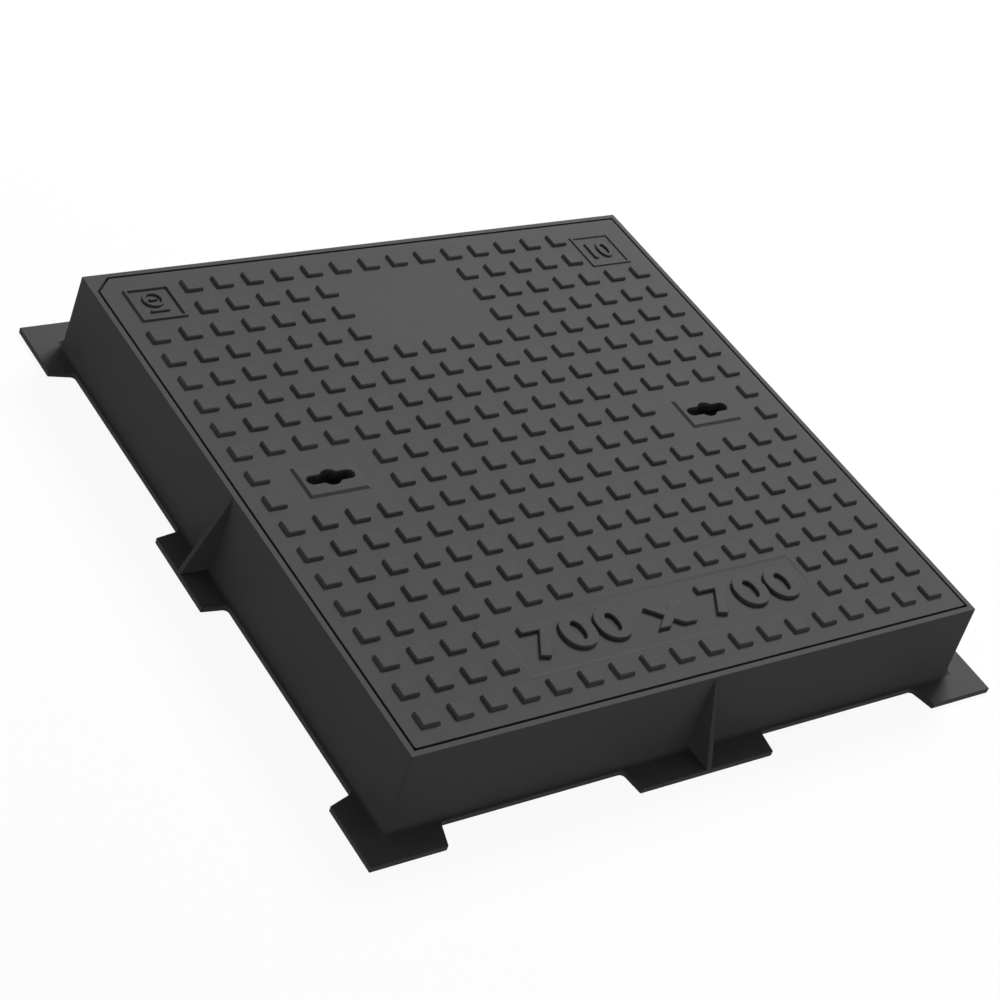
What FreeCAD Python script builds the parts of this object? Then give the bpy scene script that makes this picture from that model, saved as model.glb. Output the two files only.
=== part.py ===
# Square access cover for a cable pit: a ribbed ductile-iron cover that rests in a
# flanged ductile-iron frame, on an elastomer strip that keeps it from rattling.
# Millimetres, +Z up, +Y to the back, origin at the middle of the underside of the frame.
import FreeCAD, Part
import math
import os

from FreeCAD import Rotation, Vector

# Cover plate, seen from above
COVER_SIDE = 700.0
COVER_CHAMFER = 19.0          # legs of the one cut corner, back left, that shows which way round it goes
COVER_CORNER_RADIUS = 2.5
COVER_GAP = 2.6               # open joint between cover and frame at the top
PLATE_THICKNESS = 8.0
COVER_EDGE_DEPTH = 39.0       # from the top of the plate down to the seat face
COVER_EDGE_DRAFT = 2.0        # degrees
SEAT_BAND = 19.0              # width of the rim under the plate, at its seat face
POCKET_DRAFT = 4.0            # how much narrower the hollow underside is at the plate than at the seat

# Ribs under the plate
RIB_ROOT = 7.0
RIB_TIP = 5.0
RIB_DROP = 27.0               # how far the ribs hang below the seat face in the middle
RIB_FLAT = 300.0              # side of the level middle of the ribs, before they slope up to the rim
RIB_LEDGE_CLEARANCE = 5.0     # from the ribs to the edge of the frame's ledge
RIBS_TO_KEY = 3               # equal bays between the middle and the bay of the key slot
KEY_BAY = 74.0                # bay that the key slot opens into
SIDE_BAYS = 4                 # bays from the middle one to the rim, front and back

# Raised studs of the tread
TREAD_COUNT = 18
TREAD_PITCH = 37.8
STUD_SIDE = 20.0
STUD_HEIGHT = 4.2
STUD_DRAFT = 0.5              # how much each flank leans in from base to shoulder
STUD_CHAMFER = 1.0
STUD_CLEARANCE = 2.0          # least distance from a stud to a plain field, pad or outlined square

# Plain fields, pads and outlined squares between the studs
BLANK_FIELD = (130.0, 80.0)
BLANK_FIELD_PLACE = (0.0, 242.0)
SUNK_FIELD = (380.0, 76.0)
SUNK_FIELD_PLACE = (0.0, -266.0)
SUNK_FIELD_DEPTH = 0.8
SUNK_FIELD_SLOPE = 3.0
KEY_REACH = 247.0             # from the middle of the cover to a key slot
KEY_PAD = (70.5, 46.5)
KEY_PAD_HEIGHT = 2.6
KEY_SLOT_LENGTH = 56.0
KEY_SLOT_WIDTH = 13.0
KEY_HOLE = 23.0
LEFT_SQUARE = 54.0
LEFT_SQUARE_MARGIN = 23.5     # from the edge of the cover to the outlined square
LEFT_OUTLINE_HEIGHT = 2.6
RIGHT_SQUARE = 57.0
RIGHT_SQUARE_MARGIN = 27.0
RIGHT_OUTLINE_HEIGHT = 1.8
OUTLINE_WIDTH = 3.8
OUTLINE_LEAN = 0.6

# Frame
FRAME_HEIGHT = 100.0
RIM_WIDTH = 6.1               # flat top of the wall, round the cover
WALL_DRAFT = 2.3              # degrees, outer face
WALL_FOOT = 7.5               # thickness of the wall at its foot
MOUTH_DRAFT = 0.8             # how much narrower the mouth is at the ledge than at the top
FLANGE_SIDE = 741.0
FLANGE_THICKNESS = 6.5
FOOT_FILLET = 7.5
FEET_SPAN = 796.0
MID_FOOT_FRONT = 170.0        # front and back, measured at the outer edge
MID_FOOT_SIDE = 104.0         # left and right
MID_FOOT_TAPER = 4.0
CORNER_FOOT_FRONT = 85.0      # along the front and the back, from the corner of the feet
CORNER_FOOT_SIDE = 77.5       # along the left and the right
CORNER_FOOT_TAPER = 8.0
NOTCH_RADIUS = 6.0
GUSSET_TOP_THICKNESS = 4.6
GUSSET_FOOT_THICKNESS = 7.0
GUSSET_DROP = 2.5             # from the top of the frame to the point of a gusset
GUSSET_TOP_REACH = 0.4

# Ledge that carries the cover
CLEAR_OPENING = 650.0
LEDGE_THICKNESS = 9.0
LEDGE_ROOT_DROP = 5.0         # how much thicker the ledge is at the wall
BRACKETS_PER_SIDE = 3
BRACKET_SPACING = 200.0
BRACKET_THICKNESS = 8.0
BRACKET_FOOT = 14.0           # height of a bracket's lower end above the ground
BRACKET_NOSE = 4.0            # how far a bracket stays back from the edge of the ledge

# Elastomer strip on the ledge
STRIP_WIDTH = 12.0
STRIP_THICKNESS = 4.0
STRIP_CORNER_RADIUS = 14.0
GROOVE_DEPTH = 1.5
GROOVE_CLEARANCE = 0.3

# How deep one form runs into the one that carries it, so that they join
BITE = 1.5

# Worked out from the values above
COVER_HALF = COVER_SIDE / 2
MOUTH_HALF = COVER_HALF + COVER_GAP
TOP_HALF = MOUTH_HALF + RIM_WIDTH
FLANGE_HALF = FLANGE_SIDE / 2
FEET_HALF = FEET_SPAN / 2
OPENING_HALF = CLEAR_OPENING / 2
PLATE_UNDERSIDE = FRAME_HEIGHT - PLATE_THICKNESS
SEAT_HEIGHT = FRAME_HEIGHT - COVER_EDGE_DEPTH
LEDGE_HEIGHT = SEAT_HEIGHT - STRIP_THICKNESS + GROOVE_DEPTH
EDGE_INSET = COVER_EDGE_DEPTH * math.tan(math.radians(COVER_EDGE_DRAFT))
POCKET_HALF = COVER_HALF - EDGE_INSET - SEAT_BAND
STRIP_MIDDLE = (OPENING_HALF + COVER_HALF - EDGE_INSET) / 2
LEFT_SQUARE_REACH = COVER_HALF - LEFT_SQUARE_MARGIN - LEFT_SQUARE / 2
RIGHT_SQUARE_REACH = COVER_HALF - RIGHT_SQUARE_MARGIN - RIGHT_SQUARE / 2
SQUARES = (
    (-1, LEFT_SQUARE, LEFT_SQUARE_REACH, LEFT_OUTLINE_HEIGHT),
    (1, RIGHT_SQUARE, RIGHT_SQUARE_REACH, RIGHT_OUTLINE_HEIGHT),
)


def wall_face(height):
    """Distance from the middle to the wall's outer face at a height above the ground."""
    return TOP_HALF + (FRAME_HEIGHT - height) * math.tan(math.radians(WALL_DRAFT))


def wall_inner(height):
    """Distance from the middle to the wall's inner face below the ledge."""
    return wall_face(height) - WALL_FOOT


def rectangle(width, depth):
    """Corners of a rectangle about the middle, counter-clockwise from the front left."""
    x, y = width / 2, depth / 2
    return [(-x, -y), (x, -y), (x, y), (-x, y)]


def outline(points, height, radii=None):
    """Closed wire through the points at a height, with the corners rounded to the radii."""
    count = len(points)
    radii = radii or [0.0] * count
    corners = [Vector(x, y, height) for x, y in points]
    starts, ends, middles = [], [], []
    for index, corner in enumerate(corners):
        before = (corners[index - 1] - corner).normalize()
        after = (corners[(index + 1) % count] - corner).normalize()
        half_angle = before.getAngle(after) / 2
        cut_back = radii[index] / math.tan(half_angle)
        starts.append(corner + before * cut_back)
        ends.append(corner + after * cut_back)
        towards = (before + after).normalize()
        depth = radii[index] / math.sin(half_angle) - radii[index]
        middles.append(corner + towards * depth)
    edges = []
    for index in range(count):
        if radii[index] > 0:
            edges.append(Part.Arc(starts[index], middles[index], ends[index]).toShape())
        following = (index + 1) % count
        edges.append(Part.LineSegment(ends[index], starts[following]).toShape())
    return Part.Wire(edges)


def slab(points, bottom, top, radii=None):
    """Upright solid with the given outline between two heights."""
    return Part.Face(outline(points, bottom, radii)).extrude(Vector(0, 0, top - bottom))


def tapered(levels):
    """Solid with flat faces through outlines of (points, height), from the lowest to the highest."""
    rings = [[Vector(x, y, height) for x, y in points] for points, height in levels]
    loops = [rings[0][::-1], rings[-1]]
    for lower, upper in zip(rings, rings[1:]):
        for index in range(len(lower)):
            loops.append([lower[index - 1], lower[index], upper[index], upper[index - 1]])
    faces = [Part.Face(Part.makePolygon(loop + loop[:1])) for loop in loops]
    return Part.makeSolid(Part.makeShell(faces))


def frustum(place, low_size, low, high_size, high):
    """Tapered block on a rectangle, moved to its place on the cover."""
    block = tapered([(rectangle(*low_size), low), (rectangle(*high_size), high)])
    block.translate(Vector(place[0], place[1], 0))
    return block


def turned(shape, quarter):
    """Copy of a shape, turned by quarter turns about the upright axis."""
    copy = shape.copy()
    copy.rotate(Vector(0, 0, 0), Vector(0, 0, 1), 90 * quarter)
    return copy


def upright_plate(profile, thickness, along):
    """Plate on the right side, from a profile of (distance from the middle, height)."""
    corners = [Vector(distance, along - thickness / 2, height) for distance, height in profile]
    return Part.Face(Part.makePolygon(corners + corners[:1])).extrude(Vector(0, thickness, 0))


def cover_outline(half, chamfer, radius, height):
    """Outline of the cover or the mouth, with one cut corner at the back left."""
    points = [(-half, -half), (half, -half), (half, half), (-half + chamfer, half), (-half, half - chamfer)]
    return outline(points, height, [radius, radius, radius, 0, 0])


def cover_shell():
    """Top plate with its drafted rim, hollow underneath."""
    top = cover_outline(COVER_HALF, COVER_CHAMFER, COVER_CORNER_RADIUS, FRAME_HEIGHT)
    seat = cover_outline(COVER_HALF - EDGE_INSET, COVER_CHAMFER, COVER_CORNER_RADIUS, SEAT_HEIGHT)
    block = Part.makeLoft([seat, top], True, True)
    low_side = 2 * POCKET_HALF
    high_side = low_side - 2 * POCKET_DRAFT
    pocket = frustum((0, 0), (low_side, low_side), SEAT_HEIGHT, (high_side, high_side), PLATE_UNDERSIDE)
    return block.cut(pocket)


def rib_lines():
    """Places of the ribs that run front to back, and of those that run left to right."""
    inner = KEY_REACH - KEY_BAY / 2
    step = inner / RIBS_TO_KEY
    across = [step * number for number in range(-RIBS_TO_KEY, RIBS_TO_KEY + 1)]
    across += [-inner - KEY_BAY, inner + KEY_BAY]
    side_step = 2 * POCKET_HALF / (2 * SIDE_BAYS + 1)
    along = [side_step * (number + 0.5) for number in range(-SIDE_BAYS, SIDE_BAYS)]
    return across, along


def rib(place):
    """One tapered rib that runs front to back, as deep as the middle of the grid."""
    lowest = SEAT_HEIGHT - RIB_DROP
    length = 2 * (POCKET_HALF + BITE)
    lean = (RIB_ROOT - RIB_TIP) / (PLATE_UNDERSIDE - lowest)
    top = PLATE_UNDERSIDE + BITE
    return frustum((place, 0), (RIB_TIP, length), lowest, (RIB_ROOT + lean * BITE, length), top)


def rib_grid():
    """Crossing ribs, cut to a belly that slopes up from its level middle to the rim."""
    across, along = rib_lines()
    ribs = [rib(place) for place in across] + [turned(rib(place), 1) for place in along]
    reach = 2 * (OPENING_HALF - RIB_LEDGE_CLEARANCE)
    belly = frustum((0, 0), (RIB_FLAT, RIB_FLAT), SEAT_HEIGHT - RIB_DROP, (reach, reach), SEAT_HEIGHT)
    full = 2 * (POCKET_HALF + BITE)
    upper = slab(rectangle(full, full), SEAT_HEIGHT, PLATE_UNDERSIDE + BITE)
    return ribs[0].multiFuse(ribs[1:]).common(belly.fuse(upper))


def plain_fields():
    """Rectangles that the studs keep clear of, as (place, size)."""
    fields = [(BLANK_FIELD_PLACE, BLANK_FIELD), (SUNK_FIELD_PLACE, SUNK_FIELD)]
    fields += [((side * KEY_REACH, 0), KEY_PAD) for side in (-1, 1)]
    fields += [((side * reach, reach), (size, size)) for side, size, reach, height in SQUARES]
    return fields


def is_clear(x, y, fields):
    """True where a stud keeps its clearance from every plain field."""
    reach = STUD_SIDE / 2 + STUD_CLEARANCE
    for (field_x, field_y), (width, depth) in fields:
        if abs(x - field_x) < width / 2 + reach and abs(y - field_y) < depth / 2 + reach:
            return False
    return True


def stud():
    """One square stud with leaning flanks and a chamfer round its top."""
    shoulder = STUD_SIDE - 2 * STUD_DRAFT
    crown = shoulder - 2 * STUD_CHAMFER
    return tapered([
        (rectangle(STUD_SIDE, STUD_SIDE), FRAME_HEIGHT),
        (rectangle(shoulder, shoulder), FRAME_HEIGHT + STUD_HEIGHT - STUD_CHAMFER),
        (rectangle(crown, crown), FRAME_HEIGHT + STUD_HEIGHT),
    ])


def studs():
    """Studs of the tread on their square grid."""
    fields = plain_fields()
    first = -TREAD_PITCH * (TREAD_COUNT - 1) / 2
    places = [first + TREAD_PITCH * number for number in range(TREAD_COUNT)]
    pattern = stud()
    spots = [(x, y) for x in places for y in places if is_clear(x, y, fields)]
    return [pattern.translated(Vector(x, y, 0)) for x, y in spots]


def key_pad(side):
    """Low raised pad round a key slot."""
    width, depth = KEY_PAD
    top = (width - 2 * KEY_PAD_HEIGHT, depth - 2 * KEY_PAD_HEIGHT)
    return frustum((side * KEY_REACH, 0), KEY_PAD, FRAME_HEIGHT, top, FRAME_HEIGHT + KEY_PAD_HEIGHT)


def key_opening(side):
    """Round-ended slot with a wider round hole in its middle, right through plate and pad."""
    bottom = Vector(0, 0, PLATE_UNDERSIDE - BITE)
    height = PLATE_THICKNESS + KEY_PAD_HEIGHT + 2 * BITE
    reach = (KEY_SLOT_LENGTH - KEY_SLOT_WIDTH) / 2
    slot = slab(rectangle(2 * reach, KEY_SLOT_WIDTH), bottom.z, bottom.z + height)
    ends = [Part.makeCylinder(KEY_SLOT_WIDTH / 2, height, bottom + Vector(x, 0, 0)) for x in (-reach, reach)]
    hole = Part.makeCylinder(KEY_HOLE / 2, height, bottom)
    opening = slot.multiFuse(ends + [hole]).removeSplitter()
    opening.translate(Vector(side * KEY_REACH, 0, 0))
    return opening


def outlined_square(side, size, reach, height):
    """Raised outline of a square near a back corner of the cover."""
    top = FRAME_HEIGHT + height
    place = (side * reach, reach)
    top_size = size - 2 * OUTLINE_LEAN
    inner = size - 2 * OUTLINE_WIDTH
    inner_top = inner + 2 * OUTLINE_LEAN
    outer = frustum(place, (size, size), FRAME_HEIGHT, (top_size, top_size), top)
    return outer.cut(frustum(place, (inner, inner), FRAME_HEIGHT, (inner_top, inner_top), top))


def sunk_field():
    """Shallow tray that is cut into the front of the tread."""
    width, depth = SUNK_FIELD
    floor = (width - 2 * SUNK_FIELD_SLOPE, depth - 2 * SUNK_FIELD_SLOPE)
    return frustum(SUNK_FIELD_PLACE, floor, FRAME_HEIGHT - SUNK_FIELD_DEPTH, SUNK_FIELD, FRAME_HEIGHT)


def cover():
    """The whole cover as one casting."""
    raised = studs() + [key_pad(side) for side in (-1, 1)]
    raised += [outlined_square(*square) for square in SQUARES]
    casting = cover_shell().multiFuse([rib_grid()] + raised)
    return casting.cut([key_opening(-1), key_opening(1), sunk_field()]).removeSplitter()


def frame_section():
    """Section of the frame's right side: wall, mouth, ledge and flange, in the XZ plane."""
    draft = math.radians(WALL_DRAFT)
    mouth_low = MOUTH_HALF - MOUTH_DRAFT
    ledge_low = LEDGE_HEIGHT - LEDGE_THICKNESS
    root_low = ledge_low - LEDGE_ROOT_DROP
    cut_back = FOOT_FILLET * math.tan((math.pi / 2 - draft) / 2)
    root = wall_face(FLANGE_THICKNESS)
    arc_top = Vector(root - cut_back * math.sin(draft), 0, FLANGE_THICKNESS + cut_back * math.cos(draft))
    arc_foot = Vector(root + cut_back, 0, FLANGE_THICKNESS)
    centre = Vector(root + cut_back, 0, FLANGE_THICKNESS + FOOT_FILLET)
    towards = (Vector(root, 0, FLANGE_THICKNESS) - centre).normalize()
    arc_middle = centre + towards * FOOT_FILLET
    straight = [
        arc_foot,
        Vector(FLANGE_HALF, 0, FLANGE_THICKNESS),
        Vector(FLANGE_HALF, 0, 0),
        Vector(wall_inner(0), 0, 0),
        Vector(wall_inner(root_low), 0, root_low),
        Vector(OPENING_HALF, 0, ledge_low),
        Vector(OPENING_HALF, 0, LEDGE_HEIGHT),
        Vector(mouth_low, 0, LEDGE_HEIGHT),
        Vector(MOUTH_HALF, 0, FRAME_HEIGHT),
        Vector(TOP_HALF, 0, FRAME_HEIGHT),
        arc_top,
    ]
    edges = [Part.LineSegment(a, b).toShape() for a, b in zip(straight, straight[1:])]
    edges.append(Part.Arc(arc_top, arc_middle, arc_foot).toShape())
    return Part.Face(Part.Wire(edges))


def frame_ring():
    """The section carried round the square, mitred at the corners."""
    side = frame_section().extrude(Vector(0, 2 * FEET_SPAN, 0))
    side.translate(Vector(0, -FEET_SPAN, 0))
    quarter = slab([(0, 0), (FEET_SPAN, -FEET_SPAN), (FEET_SPAN, FEET_SPAN)], 0, FRAME_HEIGHT)
    piece = side.common(quarter)
    return piece.multiFuse([turned(piece, number) for number in (1, 2, 3)])


def base_plate():
    """Flange and the eight feet in one plate, open inside the wall."""
    points, radii = [], []
    for quarter in range(4):
        is_side = quarter % 2 == 0
        middle = (MID_FOOT_SIDE if is_side else MID_FOOT_FRONT) / 2
        corner = FEET_HALF - (CORNER_FOOT_SIDE if is_side else CORNER_FOOT_FRONT)
        half = [
            (FEET_HALF, middle, 0),
            (FLANGE_HALF, middle + MID_FOOT_TAPER, NOTCH_RADIUS),
            (FLANGE_HALF, corner - CORNER_FOOT_TAPER, NOTCH_RADIUS),
            (FEET_HALF, corner, 0),
        ]
        run = [(out, -along, radius) for out, along, radius in reversed(half)] + half
        run.append((FEET_HALF, FEET_HALF, 0))
        turn = Rotation(Vector(0, 0, 1), 90 * quarter)
        for out, along, radius in run:
            spot = turn.multVec(Vector(out, along, 0))
            points.append((spot.x, spot.y))
            radii.append(radius)
    inside = 2 * (wall_inner(0) + BITE)
    opening = slab(rectangle(inside, inside), 0, FLANGE_THICKNESS)
    return slab(points, 0, FLANGE_THICKNESS, radii).cut(opening)


def gusset():
    """Tapered web from the top of the right wall out to the edge of its foot."""
    top = FRAME_HEIGHT - GUSSET_DROP
    low_in = wall_face(0) - BITE
    low_out = FEET_HALF
    high_in = wall_face(top) - BITE
    high_out = wall_face(top) + GUSSET_TOP_REACH
    low, high = GUSSET_FOOT_THICKNESS / 2, GUSSET_TOP_THICKNESS / 2
    low_points = [(low_in, -low), (low_out, -low), (low_out, low), (low_in, low)]
    high_points = [(high_in, -high), (high_out, -high), (high_out, high), (high_in, high)]
    return tapered([(low_points, FLANGE_THICKNESS), (high_points, top)])


def brackets():
    """Small webs under the ledge, inside the right wall."""
    root_low = LEDGE_HEIGHT - LEDGE_THICKNESS - LEDGE_ROOT_DROP
    nose = OPENING_HALF + BRACKET_NOSE
    slope = LEDGE_ROOT_DROP / (wall_inner(root_low) - OPENING_HALF)
    nose_low = LEDGE_HEIGHT - LEDGE_THICKNESS - slope * BRACKET_NOSE
    profile = [
        (wall_inner(BRACKET_FOOT) + BITE, BRACKET_FOOT),
        (wall_inner(root_low) + BITE, root_low + BITE),
        (nose, nose_low + BITE),
        (nose, nose_low),
        (wall_inner(BRACKET_FOOT), BRACKET_FOOT),
    ]
    first = -BRACKET_SPACING * (BRACKETS_PER_SIDE - 1) / 2
    places = [first + BRACKET_SPACING * number for number in range(BRACKETS_PER_SIDE)]
    return [upright_plate(profile, BRACKET_THICKNESS, place) for place in places]


def corner_web():
    """Fill of the mouth's back left corner, opposite the cut corner of the cover."""
    legs = COVER_CHAMFER + COVER_GAP * (2 - math.sqrt(2))
    edge = MOUTH_HALF + BITE
    points = [(-edge, edge), (-edge, MOUTH_HALF - legs - BITE), (-MOUTH_HALF + legs + BITE, edge)]
    return slab(points, LEDGE_HEIGHT - BITE, FRAME_HEIGHT)


def strip_ring(half_width, bottom, top):
    """Rounded square ring along the middle of the ledge."""
    outer = STRIP_MIDDLE + half_width
    inner = STRIP_MIDDLE - half_width
    outer_radius = STRIP_CORNER_RADIUS + half_width
    inner_radius = STRIP_CORNER_RADIUS - half_width
    block = slab(rectangle(2 * outer, 2 * outer), bottom, top, [outer_radius] * 4)
    return block.cut(slab(rectangle(2 * inner, 2 * inner), bottom, top, [inner_radius] * 4))


def frame():
    """The whole frame as one casting."""
    parts = [base_plate(), corner_web()]
    side_webs = [gusset()] + brackets()
    parts += [turned(web, quarter) for web in side_webs for quarter in range(4)]
    casting = frame_ring().multiFuse(parts)
    half_groove = STRIP_WIDTH / 2 + GROOVE_CLEARANCE
    groove = strip_ring(half_groove, LEDGE_HEIGHT - GROOVE_DEPTH, LEDGE_HEIGHT + BITE)
    return casting.cut(groove).removeSplitter()


def seat_strip():
    """Elastomer strip in the groove of the ledge, with the cover's rim resting on it."""
    return strip_ring(STRIP_WIDTH / 2, LEDGE_HEIGHT - GROOVE_DEPTH, SEAT_HEIGHT)


def main():
    """Write one STEP file for each piece."""
    os.makedirs("parts", exist_ok=True)
    pieces = {"frame": frame(), "cover": cover(), "seat_strip": seat_strip()}
    for name, shape in pieces.items():
        shape.exportStep(f"parts/{name}.step")
        print(name, shape.isValid(), len(shape.Solids), round(shape.Volume))


main()
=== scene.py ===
"""Looks of a square cable pit cover: coated ductile-iron castings with raised plain numbers.

Everything is in metres, +Z up and +Y to the back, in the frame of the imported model.
"""
import math
from collections import namedtuple

import bmesh
import bpy
import numpy as np
from bpy.props import FloatProperty, FloatVectorProperty, PointerProperty, StringProperty
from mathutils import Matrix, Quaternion, Vector


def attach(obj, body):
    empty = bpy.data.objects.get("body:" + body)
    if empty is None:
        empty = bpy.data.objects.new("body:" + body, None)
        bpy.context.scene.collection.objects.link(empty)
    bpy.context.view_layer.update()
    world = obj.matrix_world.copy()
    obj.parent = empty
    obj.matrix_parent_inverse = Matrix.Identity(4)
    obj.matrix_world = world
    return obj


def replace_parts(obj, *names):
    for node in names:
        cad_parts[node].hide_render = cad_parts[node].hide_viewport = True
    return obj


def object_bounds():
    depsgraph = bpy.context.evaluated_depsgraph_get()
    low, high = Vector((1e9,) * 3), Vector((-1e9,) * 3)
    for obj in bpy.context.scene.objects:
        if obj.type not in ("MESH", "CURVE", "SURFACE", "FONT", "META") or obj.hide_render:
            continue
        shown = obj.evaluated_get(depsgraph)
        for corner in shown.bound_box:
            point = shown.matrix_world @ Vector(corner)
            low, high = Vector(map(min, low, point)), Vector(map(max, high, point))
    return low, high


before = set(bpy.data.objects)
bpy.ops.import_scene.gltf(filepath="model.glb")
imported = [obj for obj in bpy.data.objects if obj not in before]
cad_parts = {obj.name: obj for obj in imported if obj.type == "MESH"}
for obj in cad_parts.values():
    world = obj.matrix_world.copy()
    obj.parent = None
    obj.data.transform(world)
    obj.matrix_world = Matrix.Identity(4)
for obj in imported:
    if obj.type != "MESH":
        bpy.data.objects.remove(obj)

bl_info = {
    "name": "Cable pit cover looks",
    "version": (1, 0, 0),
    "blender": (4, 5, 0),
    "location": "3D View > Sidebar > Pit cover",
    "description": "Rounded castings, raised numbers, coating and stage of a cable pit cover",
    "category": "Object",
}

CAD_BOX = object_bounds()

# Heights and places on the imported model, whose studs reach up to the top of its box
STUD_HEIGHT = 0.0042
SUNK_DEPTH = 0.0008
PLATE_THICKNESS = 0.008
WALKING_LEVEL = CAD_BOX[1][2] - STUD_HEIGHT
SUNK_LEVEL = WALKING_LEVEL - SUNK_DEPTH
PLATE_UNDERSIDE = WALKING_LEVEL - PLATE_THICKNESS
NUMBERS_PLACE = (0.002, -0.2645)
RIGHT_SQUARE_PLACE = (0.2945, 0.2945)
LEFT_SQUARE_PLACE = (-0.2995, 0.2995)

# How a merged copy of a casting is cleaned and rounded
MERGE_DISTANCE = 1e-6
FLAT_ANGLE = math.radians(0.5)
SLOPE_ANGLE = math.radians(16.0)     # flatter edges than this are true creases between slopes
CORNER_ANGLE = math.radians(33.0)    # sharper edges than this get rounded, facets of arcs are flatter
ROUNDING_STEPS = 2
INNER_REACH = 0.3535                 # edges of the frame that lie nearer to its middle stay sharp
GROUND_CLEARANCE = 0.001             # so do edges that lie lower than this

# How far a raised mark runs into the plate below it
SINK = 0.0005

# Rounding of the raised characters, as a share of how far they stand up
TEXT_ROUNDING = 0.14

# Section of a raised line, as shares of how far it stands up
FLANK_LEAN = 0.12
SHOULDER = 0.2
SHOULDER_CUT = 0.3                   # share of the shoulder at which its flat passes
BAR_END_LEAN = 0.3

# Casting mark: a ring round a short bar, over a longer bar; a bar is given by its length and width
RING_POINTS = 48
RING_RISE = 0.006
RING_RADIUS = 0.0105
RING_WIDTH = 0.0034
SHORT_BAR = (0.010, 0.0032)
LONG_BAR = (0.022, 0.0036)
LONG_BAR_DROP = 0.0125

# Skin of the castings: waves against grains in width and height, and how tone moves roughness
WAVE_WIDTH = 15.0
WAVE_HEIGHT = 0.67
ROUGHNESS_CHANGE = 0.3
IRON_SPECULAR = 0.06

# Stage
WHITE = (1.0, 1.0, 1.0, 1.0)
SENSOR_WIDTH = 36.0                  # in millimetres, as the lens is
FLOOR_POINTS = 96
FLOOR_PAINT = (0.95, 0.95, 0.95, 1.0)
FLOOR_WHITENESS = 0.93               # share of pure white in the floor as it is seen

# Compass turn from +X towards +Y and height above the horizon in degrees, distance and side in metres
Lamp = namedtuple("Lamp", "turn height distance size")
KEY_LAMP = Lamp(turn=37.0, height=45.0, distance=4.2, size=1.5)
SOFT_LAMP = Lamp(turn=37.0, height=62.0, distance=6.0, size=5.0)


class CoatingProperties(bpy.types.PropertyGroup):
    """Colours and grain of the coated iron and of the elastomer."""

    iron: FloatVectorProperty(
        name="Iron", description="Colour of the black coating on the iron",
        default=(0.075, 0.075, 0.0765), size=3, min=0.0, max=1.0, subtype="COLOR",
    )
    # The edge colour is a little darker than the iron: painted shade on the rounded edges, which dims the
    # light they catch
    edge: FloatVectorProperty(
        name="Edges", description="Colour of the coating where it lies thin over rounded edges",
        default=(0.066, 0.066, 0.067), size=3, min=0.0, max=1.0, subtype="COLOR",
    )
    elastomer: FloatVectorProperty(
        name="Elastomer", description="Colour of the seat strip",
        default=(0.018, 0.018, 0.019), size=3, min=0.0, max=1.0, subtype="COLOR",
    )
    roughness: FloatProperty(
        name="Roughness", description="Roughness of the coating between the grains",
        default=0.68, min=0.0, max=1.0, subtype="FACTOR",
    )
    grain_size: FloatProperty(
        name="Grain", description="Distance between the grains that the moulding sand leaves",
        default=0.0022, min=0.0002, max=0.02, subtype="DISTANCE", unit="LENGTH",
    )
    grain_depth: FloatProperty(
        name="Grain depth", description="How deep the sand grain is",
        default=0.00016, min=0.0, max=0.002, subtype="DISTANCE", unit="LENGTH",
    )
    cloud_size: FloatProperty(
        name="Clouds", description="Size of the darker and lighter clouds in the coating",
        default=0.11, min=0.005, max=1.0, subtype="DISTANCE", unit="LENGTH",
    )


class CastingProperties(bpy.types.PropertyGroup):
    """Rounding of the cast edges."""

    tread_rounding: FloatProperty(
        name="Tread rounding", description="Rounding of the edges on the walked surface",
        default=0.0005, min=0.0, max=0.002, subtype="DISTANCE", unit="LENGTH",
    )
    body_rounding: FloatProperty(
        name="Body rounding", description="Rounding of the edges below the walked surface",
        default=0.0008, min=0.0, max=0.003, subtype="DISTANCE", unit="LENGTH",
    )


class MarkProperties(bpy.types.PropertyGroup):
    """Raised numbers and the plain casting mark."""

    size_text: StringProperty(
        name="Size numbers", description="Plain size of the cover, in the sunk field",
        default="700 x 700",
    )
    size_height: FloatProperty(
        name="Size height", description="Height of the numbers in the sunk field",
        default=0.045, min=0.01, max=0.07, subtype="DISTANCE", unit="LENGTH",
    )
    size_width: FloatProperty(
        name="Size width", description="Length of the row of numbers in the sunk field",
        default=0.345, min=0.1, max=0.37, subtype="DISTANCE", unit="LENGTH",
    )
    size_relief: FloatProperty(
        name="Size relief", description="How far the numbers stand up from the sunk field",
        default=0.0042, min=0.001, max=0.0075, subtype="DISTANCE", unit="LENGTH",
    )
    square_text: StringProperty(
        name="Square number", description="Plain number in the outlined square on the right",
        default="10",
    )
    square_height: FloatProperty(
        name="Square height", description="Height of the number in the outlined square",
        default=0.028, min=0.01, max=0.04, subtype="DISTANCE", unit="LENGTH",
    )
    square_relief: FloatProperty(
        name="Square relief", description="How far the marks in both squares stand up",
        default=0.0026, min=0.001, max=0.0075, subtype="DISTANCE", unit="LENGTH",
    )


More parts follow.
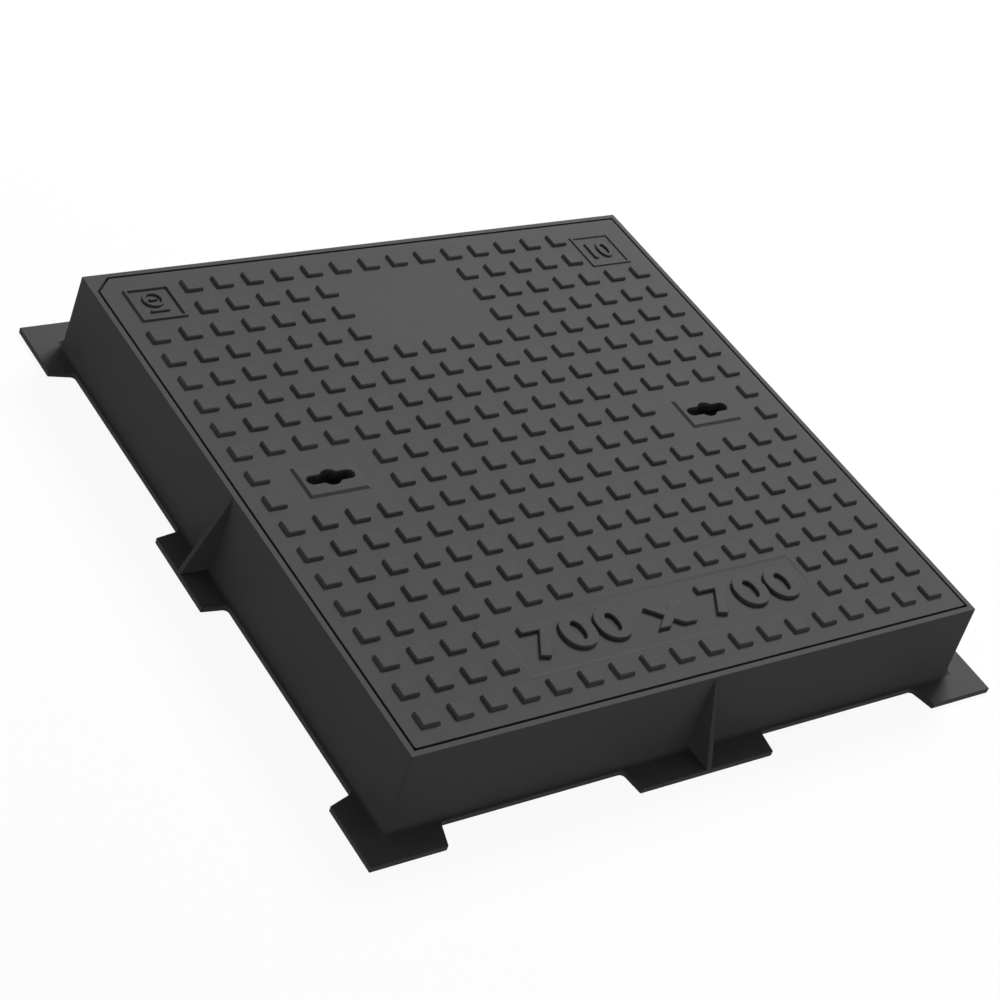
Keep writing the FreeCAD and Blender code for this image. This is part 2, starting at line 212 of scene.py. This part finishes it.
class StageProperties(bpy.types.PropertyGroup):
    """Camera, lamps and floor."""

    eye: FloatVectorProperty(
        name="Eye", description="Place of the camera",
        default=(-1.4407, -1.4363, 1.5927), size=3, subtype="TRANSLATION", unit="LENGTH",
    )
    aim: FloatVectorProperty(
        name="Aim", description="Point that the camera looks at",
        default=(-0.0830, -0.0729, 0.1), size=3, subtype="TRANSLATION", unit="LENGTH",
    )
    roll: FloatProperty(
        name="Roll", description="Turn of the camera about its line of sight",
        default=math.radians(20.33), subtype="ANGLE", unit="ROTATION",
    )
    lens: FloatProperty(
        name="Lens", description="Focal length of the camera, in millimetres", default=85.36, min=10.0,
    )
    key_power: FloatProperty(
        name="Key power", description="Power of the key lamp", default=194.0, min=0.0, unit="POWER",
    )
    soft_power: FloatProperty(
        name="Soft power", description="Power of the wide soft lamp", default=62.0, min=0.0, unit="POWER",
    )
    sky: FloatProperty(
        name="Sky", description="Brightness of the even light from all round", default=0.05, min=0.0,
    )
    glow: FloatProperty(
        name="Glow", description="Brightness of the light from the horizon", default=2.1, min=0.0,
    )
    glow_height: FloatProperty(
        name="Glow height", description="Sine of the height at which the glow has faded away",
        default=0.35, min=0.01, max=1.0,
    )
    bounce: FloatVectorProperty(
        name="Floor bounce", description="Colour of the floor, as it lights the object",
        default=(0.10, 0.10, 0.10), size=3, min=0.0, max=1.0, subtype="COLOR",
    )
    floor_radius: FloatProperty(
        name="Floor radius", description="Radius of the round floor",
        default=14.0, min=1.0, subtype="DISTANCE", unit="LENGTH",
    )


# Shaders


def new_group(name, inputs, outputs):
    """Empty shader group with named sockets, its input node and its output node."""
    group = bpy.data.node_groups.new(name, "ShaderNodeTree")
    for label, kind, value in inputs:
        socket = group.interface.new_socket(label, in_out="INPUT", socket_type=kind)
        if value is not None:
            socket.default_value = value
    for label, kind in outputs:
        group.interface.new_socket(label, in_out="OUTPUT", socket_type=kind)
    return group, group.nodes.new("NodeGroupInput"), group.nodes.new("NodeGroupOutput")


def add(tree, kind, **values):
    """New node with its settings and its unlinked inputs filled in by name."""
    node = tree.nodes.new(kind)
    for key, value in values.items():
        if hasattr(node, key):
            setattr(node, key, value)
        else:
            node.inputs[key.replace("_", " ")].default_value = value
    return node


def formula(tree, operation, first, second=0.0):
    """Math node on one or two sockets or numbers, whose result it returns."""
    node = add(tree, "ShaderNodeMath", operation=operation)
    for socket, value in zip(node.inputs, (first, second)):
        if isinstance(value, (int, float)):
            socket.default_value = value
        else:
            tree.links.new(value, socket)
    return node.outputs[0]


def sand_grain_group():
    """Height of a sand-cast skin: fine grains, on waves that are wider and softer.

    Height is depth times (grain noise plus wave height times wave noise), both from 0 to 1.
    """
    group, source, result = new_group(
        "sand cast grain",
        [("Vector", "NodeSocketVector", None), ("Grain", "NodeSocketFloat", 0.002),
         ("Depth", "NodeSocketFloat", 0.0001)],
        [("Height", "NodeSocketFloat"), ("Grains", "NodeSocketFloat")],
    )
    scale = formula(group, "DIVIDE", 1.0, source.outputs["Grain"])
    fine = add(group, "ShaderNodeTexNoise", Detail=3.0, Roughness=0.6)
    wide = add(group, "ShaderNodeTexNoise", Detail=2.0, Roughness=0.5)
    group.links.new(source.outputs["Vector"], fine.inputs["Vector"])
    group.links.new(source.outputs["Vector"], wide.inputs["Vector"])
    group.links.new(scale, fine.inputs["Scale"])
    group.links.new(formula(group, "DIVIDE", scale, WAVE_WIDTH), wide.inputs["Scale"])
    waves = formula(group, "MULTIPLY", wide.outputs[0], WAVE_HEIGHT)
    total = formula(group, "ADD", fine.outputs[0], waves)
    group.links.new(formula(group, "MULTIPLY", total, source.outputs["Depth"]), result.inputs["Height"])
    group.links.new(fine.outputs[0], result.inputs["Grains"])
    return group


def coating_tone_group():
    """Colour and roughness of a dipped coating: wide clouds and fine specks round a base colour.

    The colour is the base times 1 plus (clouds - 0.5) * spread plus (grains - 0.5) * specks.
    The roughness is the base roughness plus the same change times the roughness change.
    """
    group, source, result = new_group(
        "coating tone",
        [("Vector", "NodeSocketVector", None), ("Base", "NodeSocketColor", (0.1, 0.1, 0.1, 1.0)),
         ("Grains", "NodeSocketFloat", 0.5), ("Clouds", "NodeSocketFloat", 0.1),
         ("Spread", "NodeSocketFloat", 0.2), ("Specks", "NodeSocketFloat", 0.2),
         ("Roughness", "NodeSocketFloat", 0.6)],
        [("Color", "NodeSocketColor"), ("Roughness", "NodeSocketFloat")],
    )
    clouds = add(group, "ShaderNodeTexNoise", Detail=4.0, Roughness=0.55)
    group.links.new(source.outputs["Vector"], clouds.inputs["Vector"])
    group.links.new(formula(group, "DIVIDE", 1.0, source.outputs["Clouds"]), clouds.inputs["Scale"])
    cloud = formula(group, "SUBTRACT", clouds.outputs[0], 0.5)
    speck = formula(group, "SUBTRACT", source.outputs["Grains"], 0.5)
    cloud = formula(group, "MULTIPLY", cloud, source.outputs["Spread"])
    speck = formula(group, "MULTIPLY", speck, source.outputs["Specks"])
    change = formula(group, "ADD", cloud, speck)
    scale = add(group, "ShaderNodeVectorMath", operation="SCALE")
    group.links.new(source.outputs["Base"], scale.inputs[0])
    group.links.new(formula(group, "ADD", change, 1.0), scale.inputs["Scale"])
    group.links.new(scale.outputs[0], result.inputs["Color"])
    rougher = formula(group, "MULTIPLY", change, ROUGHNESS_CHANGE)
    rough = formula(group, "ADD", rougher, source.outputs["Roughness"])
    group.links.new(rough, result.inputs["Roughness"])
    return group


def skin_material(name, groups, colour, roughness, grain, depth, clouds, spread, specks, specular):
    """Matte skin with grain and cloudy tone, both in the object's own coordinates."""
    material = bpy.data.materials.new(name)
    material.use_nodes = True
    tree = material.node_tree
    shader = tree.nodes["Principled BSDF"]
    shader.inputs["Specular IOR Level"].default_value = specular
    place = tree.nodes.new("ShaderNodeTexCoord").outputs["Object"]
    grain_node = add(tree, "ShaderNodeGroup", node_tree=groups["grain"])
    grain_node.inputs["Grain"].default_value = grain
    grain_node.inputs["Depth"].default_value = depth
    tone = add(tree, "ShaderNodeGroup", node_tree=groups["tone"])
    tone.inputs["Base"].default_value = (*colour, 1.0)
    tone.inputs["Clouds"].default_value = clouds
    tone.inputs["Spread"].default_value = spread
    tone.inputs["Specks"].default_value = specks
    tone.inputs["Roughness"].default_value = roughness
    bump = add(tree, "ShaderNodeBump", Strength=1.0, Distance=1.0)
    tree.links.new(place, grain_node.inputs["Vector"])
    tree.links.new(place, tone.inputs["Vector"])
    tree.links.new(grain_node.outputs["Grains"], tone.inputs["Grains"])
    tree.links.new(grain_node.outputs["Height"], bump.inputs["Height"])
    tree.links.new(tone.outputs["Color"], shader.inputs["Base Color"])
    tree.links.new(tone.outputs["Roughness"], shader.inputs["Roughness"])
    tree.links.new(bump.outputs["Normal"], shader.inputs["Normal"])
    return material


def shared_groups():
    """The two shader groups, made once."""
    made = bpy.data.node_groups
    grain = made.get("sand cast grain") or sand_grain_group()
    tone = made.get("coating tone") or coating_tone_group()
    return {"grain": grain, "tone": tone}


def coated_iron(scene):
    """Material of the coated iron."""
    look = scene.pit_coating
    return bpy.data.materials.get("iron_coating") or skin_material(
        "iron_coating", shared_groups(), look.iron, look.roughness, look.grain_size, look.grain_depth,
        look.cloud_size, spread=0.22, specks=0.22, specular=IRON_SPECULAR,
    )


def edge_painted_shade(scene):
    """Material of the coated iron on its rounded edges, darker than the iron: painted shade that dims the
    light the edges catch.
    """
    look = scene.pit_coating
    return bpy.data.materials.get("painted_shade_edge_coating") or skin_material(
        "painted_shade_edge_coating", shared_groups(), look.edge, look.roughness, look.grain_size,
        look.grain_depth / 2, look.cloud_size / 8, spread=0.3, specks=0.3, specular=IRON_SPECULAR,
    )


def moulded_elastomer(scene):
    """Material of the seat strip: smooth moulded elastomer with a very fine grain."""
    look = scene.pit_coating
    return bpy.data.materials.get("moulded_elastomer") or skin_material(
        "moulded_elastomer", shared_groups(), look.elastomer, roughness=0.7,
        grain=look.grain_size / 4, depth=look.grain_depth / 8, clouds=look.cloud_size / 4,
        spread=0.15, specks=0.1, specular=0.35,
    )


# Meshes


def new_piece(name, mesh, materials):
    """Object for a finished mesh at the origin, riding on the one body."""
    piece = bpy.data.objects.new(name, mesh)
    bpy.context.scene.collection.objects.link(piece)
    for index, material in enumerate(materials):
        if index < len(mesh.materials):
            mesh.materials[index] = material
        else:
            mesh.materials.append(material)
    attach(piece, "root")
    return piece


def finished_mesh(piece, name):
    """Mesh of an object with its modifiers applied."""
    graph = bpy.context.evaluated_depsgraph_get()
    mesh = bpy.data.meshes.new_from_object(piece.evaluated_get(graph), depsgraph=graph)
    mesh.name = name
    return mesh


def merged_bmesh(node):
    """Copy of a node's mesh with shared corners and with its flat faces merged."""
    work = bmesh.new()
    work.from_mesh(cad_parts[node].data)
    bmesh.ops.remove_doubles(work, verts=work.verts, dist=MERGE_DISTANCE)
    bmesh.ops.dissolve_limit(work, angle_limit=FLAT_ANGLE, verts=work.verts, edges=work.edges)
    return work


def weigh_edges(work, radius_at, widest):
    """Give each sharp edge its share of the widest rounding, and leave slopes and bare edges creased.

    The radius depends on the edge's middle and on whether the edge points out of the casting.
    """
    weight = work.edges.layers.float.new("bevel_weight_edge")
    for edge in work.edges:
        if len(edge.link_faces) != 2:
            continue
        angle = edge.calc_face_angle(0.0)
        edge.smooth = angle < FLAT_ANGLE or SLOPE_ANGLE < angle
        if angle > CORNER_ANGLE:
            middle = (edge.verts[0].co + edge.verts[1].co) / 2
            edge[weight] = radius_at(middle, edge.is_convex) / widest
            edge.smooth = edge[weight] > 0.0


def rounded_copy(node, name, radius_at, widest):
    """Merged copy of a node whose sharp edges are rounded by the radius that holds there."""
    work = merged_bmesh(node)
    for face in work.faces:
        face.smooth = True
    weigh_edges(work, radius_at, widest)
    mesh = bpy.data.meshes.new(name)
    work.to_mesh(mesh)
    work.free()
    if mesh.has_custom_normals:
        mesh.attributes.remove(mesh.attributes["custom_normal"])     # they belong to the unmerged faces
    carrier = bpy.data.objects.new(name + "_carrier", mesh)
    bpy.context.scene.collection.objects.link(carrier)
    rounding = carrier.modifiers.new("rounding", "BEVEL")
    rounding.limit_method = "WEIGHT"
    rounding.width = widest
    rounding.segments = ROUNDING_STEPS
    rounding.use_clamp_overlap = False
    rounding.harden_normals = True
    rounding.material = 1                # the slot of the darker edge coating, painted shade on the rounded edges
    mesh.materials.append(None)
    mesh.materials.append(None)
    rounded = finished_mesh(carrier, name)
    bpy.data.objects.remove(carrier)
    bpy.data.meshes.remove(mesh)
    return rounded


def raised_text(name, text, size, place, floor, relief, materials, weight=0.0, spacing=1.0):
    """Row of plain characters of the given width and height that stands on a floor.

    A width of zero keeps the characters' own proportions.
    """
    curve = bpy.data.curves.new(name, "FONT")
    curve.body = text
    curve.space_character = spacing
    curve.offset = weight
    rounding = TEXT_ROUNDING * relief / size[1]
    curve.bevel_depth = rounding
    curve.bevel_resolution = 1
    curve.extrude = (relief + SINK) / size[1] / 2 - rounding
    curve.resolution_u = 6
    carrier = bpy.data.objects.new(name + "_carrier", curve)
    bpy.context.scene.collection.objects.link(carrier)
    mesh = finished_mesh(carrier, name)
    bpy.data.objects.remove(carrier)
    points = np.zeros(len(mesh.vertices) * 3)
    mesh.vertices.foreach_get("co", points)
    points = points.reshape(-1, 3)
    low, high = points.min(0), points.max(0)
    deep = (relief + SINK) / (high[2] - low[2])
    tall = size[1] / (high[1] - low[1])
    wide = size[0] / (high[0] - low[0]) if size[0] else tall
    middle = (low + high) / 2
    points = (points - middle) * (wide, tall, deep)
    points += (place[0], place[1], floor + (relief - SINK) / 2)
    mesh.vertices.foreach_set("co", points.ravel())
    weld(mesh)
    return new_piece(name, mesh, materials)


def weld(mesh):
    """Merge doubled corners of a mesh and turn its faces outwards."""
    work = bmesh.new()
    work.from_mesh(mesh)
    bmesh.ops.remove_doubles(work, verts=work.verts, dist=MERGE_DISTANCE)
    bmesh.ops.recalc_face_normals(work, faces=work.faces)
    work.to_mesh(mesh)
    work.free()
    mesh.update()


def ridge(path, normals, profile, closed):
    """Grid of points and its faces: a closed profile carried along a path on the plate.

    Point (i, j) is path point i, plus its sideways normal times the profile's offset j, plus
    up times the profile's height j. An open ridge ends in the profile pressed flat at its foot.
    """
    offsets, heights = np.array(profile).T
    count, around = len(path), len(profile)
    points = np.zeros((count, around, 3))
    points[:, :, :2] = path[:, None, :] + normals[:, None, :] * offsets[None, :, None]
    points[:, :, 2] = heights
    if not closed:
        points[[0, -1], :, 2] = heights.min()
    rows = np.arange(count if closed else count - 1)
    i, j = np.meshgrid(rows, np.arange(around), indexing="ij")
    after, beside = (i + 1) % count, (j + 1) % around
    faces = np.stack([i * around + j, after * around + j, after * around + beside, i * around + beside], -1)
    return points.reshape(-1, 3), faces.reshape(-1, 4)


def ridge_profile(width, floor, relief):
    """Section of a raised line: drafted flanks, rounded shoulders and a foot inside the plate."""
    half, lean, shoulder = width / 2, FLANK_LEAN * relief, SHOULDER * relief
    cut = SHOULDER_CUT * shoulder
    top = floor + relief
    right = [
        (half, floor - SINK), (half, floor), (half - lean, top - shoulder),
        (half - lean - cut, top - cut), (half - lean - shoulder, top),
    ]
    return right + [(-x, z) for x, z in reversed(right)]


def ring_mark(centre, radius, width, floor, relief):
    """Raised ring: the profile carried round a circle."""
    turn = np.linspace(0, 2 * np.pi, RING_POINTS, endpoint=False)
    outward = np.stack([np.cos(turn), np.sin(turn)], -1)
    return ridge(np.array(centre) + radius * outward, outward, ridge_profile(width, floor, relief), True)


def bar_mark(centre, length, width, floor, relief):
    """Raised bar along X with sloping ends."""
    half, lean = length / 2, BAR_END_LEAN * relief
    along = np.array([-half, -half + lean, half - lean, half])
    path = np.array(centre) + np.stack([along, np.zeros(4)], -1)
    sideways = np.tile([0.0, 1.0], (4, 1))
    return ridge(path, sideways, ridge_profile(width, floor, relief), False)


def joined_mesh(name, parts):
    """Mesh of several grids of points and faces."""
    starts = np.cumsum([0] + [len(points) for points, faces in parts[:-1]])
    points = np.concatenate([points for points, faces in parts])
    faces = np.concatenate([faces + start for (_, faces), start in zip(parts, starts)])
    mesh = bpy.data.meshes.new(name)
    mesh.from_pydata(points.tolist(), [], faces.tolist())
    weld(mesh)
    return mesh


# Operators


class PITCOVER_OT_frame_casting(bpy.types.Operator):
    """Make the frame casting with rounded edges and its coating"""

    bl_idname = "pitcover.frame_casting"
    bl_label = "Frame casting"

    def execute(self, context):
        sizes = context.scene.pit_casting
        fine, coarse = sizes.tread_rounding, sizes.body_rounding

        def radius_at(point, outward):
            inner = max(abs(point.x), abs(point.y)) < INNER_REACH
            if inner or not outward or point.z < GROUND_CLEARANCE:
                return 0.0
            return fine if point.z > PLATE_UNDERSIDE else coarse

        mesh = rounded_copy("frame", "frame_casting", radius_at, coarse)
        # the second material is the darker edge coating, painted shade on the rounded edges
        materials = [coated_iron(context.scene), edge_painted_shade(context.scene)]
        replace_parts(new_piece("frame_casting", mesh, materials), "frame")
        return {"FINISHED"}


class PITCOVER_OT_cover_casting(bpy.types.Operator):
    """Make the cover casting with rounded studs and ribs and its coating"""

    bl_idname = "pitcover.cover_casting"
    bl_label = "Cover casting"

    def execute(self, context):
        sizes = context.scene.pit_casting
        fine, coarse = sizes.tread_rounding, sizes.body_rounding

        def radius_at(point, outward):
            return fine if point.z > PLATE_UNDERSIDE else coarse

        mesh = rounded_copy("cover", "cover_casting", radius_at, coarse)
        # the second material is the darker edge coating, painted shade on the rounded edges
        materials = [coated_iron(context.scene), edge_painted_shade(context.scene)]
        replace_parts(new_piece("cover_casting", mesh, materials), "cover")
        return {"FINISHED"}


class PITCOVER_OT_seat_strip(bpy.types.Operator):
    """Make the elastomer strip that the cover rests on"""

    bl_idname = "pitcover.seat_strip"
    bl_label = "Seat strip"

    def execute(self, context):
        rounding = context.scene.pit_casting.tread_rounding

        def radius_at(point, outward):
            return rounding

        mesh = rounded_copy("seat_strip", "seat_strip_moulded", radius_at, rounding)
        material = moulded_elastomer(context.scene)
        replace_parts(new_piece("seat_strip_moulded", mesh, [material, material]), "seat_strip")
        return {"FINISHED"}


class PITCOVER_OT_raised_numbers(bpy.types.Operator):
    """Make the plain numbers in the sunk field and in the square on the right"""

    bl_idname = "pitcover.raised_numbers"
    bl_label = "Raised numbers"

    def execute(self, context):
        marks = context.scene.pit_marks
        materials = [coated_iron(context.scene)]
        raised_text(
            "size_numbers", marks.size_text, (marks.size_width, marks.size_height), NUMBERS_PLACE,
            SUNK_LEVEL, marks.size_relief, materials, weight=0.022, spacing=1.12,
        )
        raised_text(
            "square_number", marks.square_text, (0.0, marks.square_height), RIGHT_SQUARE_PLACE,
            WALKING_LEVEL, marks.square_relief, materials, weight=0.004, spacing=1.0,
        )
        return {"FINISHED"}


class PITCOVER_OT_casting_mark(bpy.types.Operator):
    """Make the plain ring and bars in the square on the left"""

    bl_idname = "pitcover.casting_mark"
    bl_label = "Casting mark"

    def execute(self, context):
        relief = context.scene.pit_marks.square_relief
        x, y = LEFT_SQUARE_PLACE
        parts = [
            ring_mark((x, y + RING_RISE), RING_RADIUS, RING_WIDTH, WALKING_LEVEL, relief),
            bar_mark((x, y + RING_RISE), *SHORT_BAR, WALKING_LEVEL, relief),
            bar_mark((x, y - LONG_BAR_DROP), *LONG_BAR, WALKING_LEVEL, relief),
        ]
        mesh = joined_mesh("casting_mark", parts)
        new_piece("casting_mark", mesh, [coated_iron(context.scene)])
        return {"FINISHED"}


class PITCOVER_OT_stage(bpy.types.Operator):
    """Make the camera, the lamps, the world and the pale floor"""

    bl_idname = "pitcover.stage"
    bl_label = "Stage"

    def execute(self, context):
        stage = context.scene.pit_stage
        make_camera(context.scene, stage)
        make_lamp(context.scene, "key_lamp", KEY_LAMP, stage.key_power)
        make_lamp(context.scene, "soft_lamp", SOFT_LAMP, stage.soft_power)
        make_world(context.scene, stage)
        make_floor(context.scene, stage)
        context.scene.view_settings.view_transform = "Standard"
        return {"FINISHED"}


def make_camera(scene, stage):
    """Camera at the eye, turned to the aim and rolled about its line of sight."""
    data = bpy.data.cameras.new("camera")
    data.lens = stage.lens
    data.sensor_width = SENSOR_WIDTH
    camera = bpy.data.objects.new("camera", data)
    scene.collection.objects.link(camera)
    camera.location = stage.eye
    camera.rotation_mode = "QUATERNION"
    sight = (Vector(stage.aim) - Vector(stage.eye)).to_track_quat("-Z", "Y")
    camera.rotation_quaternion = sight @ Quaternion((0.0, 0.0, 1.0), stage.roll)
    scene.camera = camera


def make_lamp(scene, name, lamp, power):
    """Square lamp at its compass turn and height above the horizon, aimed at the cover."""
    data = bpy.data.lights.new(name, "AREA")
    data.energy = power
    data.size = lamp.size
    holder = bpy.data.objects.new(name, data)
    scene.collection.objects.link(holder)
    turn, height = math.radians(lamp.turn), math.radians(lamp.height)
    level = math.cos(height)
    direction = Vector((level * math.cos(turn), level * math.sin(turn), math.sin(height)))
    holder.location = Vector((0.0, 0.0, WALKING_LEVEL)) + direction * lamp.distance
    holder.rotation_euler = (-direction).to_track_quat("-Z", "Y").to_euler()


def seen_directly(tree):
    """Factor that is 1 for rays from the camera, off a gloss or through glass, and else 0."""
    path = tree.nodes.new("ShaderNodeLightPath").outputs
    seen = formula(tree, "MAXIMUM", path["Is Camera Ray"], path["Is Glossy Ray"])
    return formula(tree, "MAXIMUM", seen, path["Is Transmission Ray"])


def make_world(scene, stage):
    """World that is seen as white and lights the object most from the horizon.

    Its strength is sky + glow * (1 - |z| / glow height), never below sky, for a direction's height z.
    """
    world = bpy.data.worlds.new("world")
    world.use_nodes = True
    tree = world.node_tree
    lit = tree.nodes["Background"]
    lit.inputs["Color"].default_value = WHITE
    direction = tree.nodes.new("ShaderNodeTexCoord").outputs["Generated"]
    parts = tree.nodes.new("ShaderNodeSeparateXYZ")
    tree.links.new(direction, parts.inputs[0])
    rise = formula(tree, "DIVIDE", formula(tree, "ABSOLUTE", parts.outputs["Z"]), stage.glow_height)
    nearness = formula(tree, "MAXIMUM", formula(tree, "SUBTRACT", 1.0, rise), 0.0)
    strength = formula(tree, "ADD", formula(tree, "MULTIPLY", nearness, stage.glow), stage.sky)
    tree.links.new(strength, lit.inputs["Strength"])
    white = add(tree, "ShaderNodeBackground", Color=WHITE, Strength=1.0)
    mix = tree.nodes.new("ShaderNodeMixShader")
    tree.links.new(seen_directly(tree), mix.inputs[0])
    tree.links.new(lit.outputs[0], mix.inputs[1])
    tree.links.new(white.outputs[0], mix.inputs[2])
    tree.links.new(mix.outputs[0], tree.nodes["World Output"].inputs["Surface"])
    scene.world = world


def floor_material(stage):
    """Floor that lights the object as a dark grey one, and is seen as white with the object's shadow."""
    material = bpy.data.materials.new("pale_floor")
    material.use_nodes = True
    tree = material.node_tree
    tree.nodes.remove(tree.nodes["Principled BSDF"])
    grey = add(tree, "ShaderNodeBsdfDiffuse", Color=(*stage.bounce, 1.0))
    pale = add(tree, "ShaderNodeBsdfDiffuse", Color=FLOOR_PAINT)
    white = add(tree, "ShaderNodeEmission", Color=WHITE, Strength=1.0)
    soft = tree.nodes.new("ShaderNodeMixShader")
    soft.inputs[0].default_value = FLOOR_WHITENESS
    tree.links.new(pale.outputs[0], soft.inputs[1])
    tree.links.new(white.outputs[0], soft.inputs[2])
    mix = tree.nodes.new("ShaderNodeMixShader")
    tree.links.new(seen_directly(tree), mix.inputs[0])
    tree.links.new(grey.outputs[0], mix.inputs[1])
    tree.links.new(soft.outputs[0], mix.inputs[2])
    tree.links.new(mix.outputs[0], tree.nodes["Material Output"].inputs["Surface"])
    return material


def make_floor(scene, stage):
    """Round flat floor at ground level: points at the radius, evenly spaced round the middle."""
    turn = np.linspace(0, 2 * np.pi, FLOOR_POINTS, endpoint=False)
    rim = stage.floor_radius * np.stack([np.cos(turn), np.sin(turn), np.zeros_like(turn)], -1)
    mesh = bpy.data.meshes.new("floor")
    mesh.from_pydata(rim.tolist(), [], [list(range(len(rim)))])
    mesh.materials.append(floor_material(stage))
    floor = bpy.data.objects.new("floor", mesh)
    scene.collection.objects.link(floor)


class PITCOVER_PT_looks(bpy.types.Panel):
    """Sidebar panel with the sizes, the colours and the pieces"""

    bl_idname = "PITCOVER_PT_looks"
    bl_label = "Pit cover"
    bl_space_type = "VIEW_3D"
    bl_region_type = "UI"
    bl_category = "Pit cover"

    def draw(self, context):
        for owner in PROPERTY_GROUPS:
            box = self.layout.box()
            settings = getattr(context.scene, owner)
            for field in settings.bl_rna.properties:
                if field.identifier not in ("rna_type", "name"):
                    box.prop(settings, field.identifier)
        for operator in OPERATORS:
            self.layout.operator(operator.bl_idname)


PROPERTY_GROUPS = {
    "pit_coating": CoatingProperties,
    "pit_casting": CastingProperties,
    "pit_marks": MarkProperties,
    "pit_stage": StageProperties,
}
OPERATORS = (
    PITCOVER_OT_stage,
    PITCOVER_OT_frame_casting,
    PITCOVER_OT_cover_casting,
    PITCOVER_OT_seat_strip,
    PITCOVER_OT_raised_numbers,
    PITCOVER_OT_casting_mark,
)


def register():
    """Register the classes and put the settings on the scene."""
    for owner, group in PROPERTY_GROUPS.items():
        bpy.utils.register_class(group)
        setattr(bpy.types.Scene, owner, PointerProperty(type=group))
    for made in (*OPERATORS, PITCOVER_PT_looks):
        bpy.utils.register_class(made)


def unregister():
    """Take the classes and the settings away again."""
    for made in reversed((*OPERATORS, PITCOVER_PT_looks)):
        bpy.utils.unregister_class(made)
    for owner, group in reversed(PROPERTY_GROUPS.items()):
        delattr(bpy.types.Scene, owner)
        bpy.utils.unregister_class(group)


def main():
    """Register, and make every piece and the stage."""
    register()
    bpy.ops.pitcover.stage()
    bpy.ops.pitcover.frame_casting()
    bpy.ops.pitcover.cover_casting()
    bpy.ops.pitcover.seat_strip()
    bpy.ops.pitcover.raised_numbers()
    bpy.ops.pitcover.casting_mark()


if __name__ == "__main__":
    main()
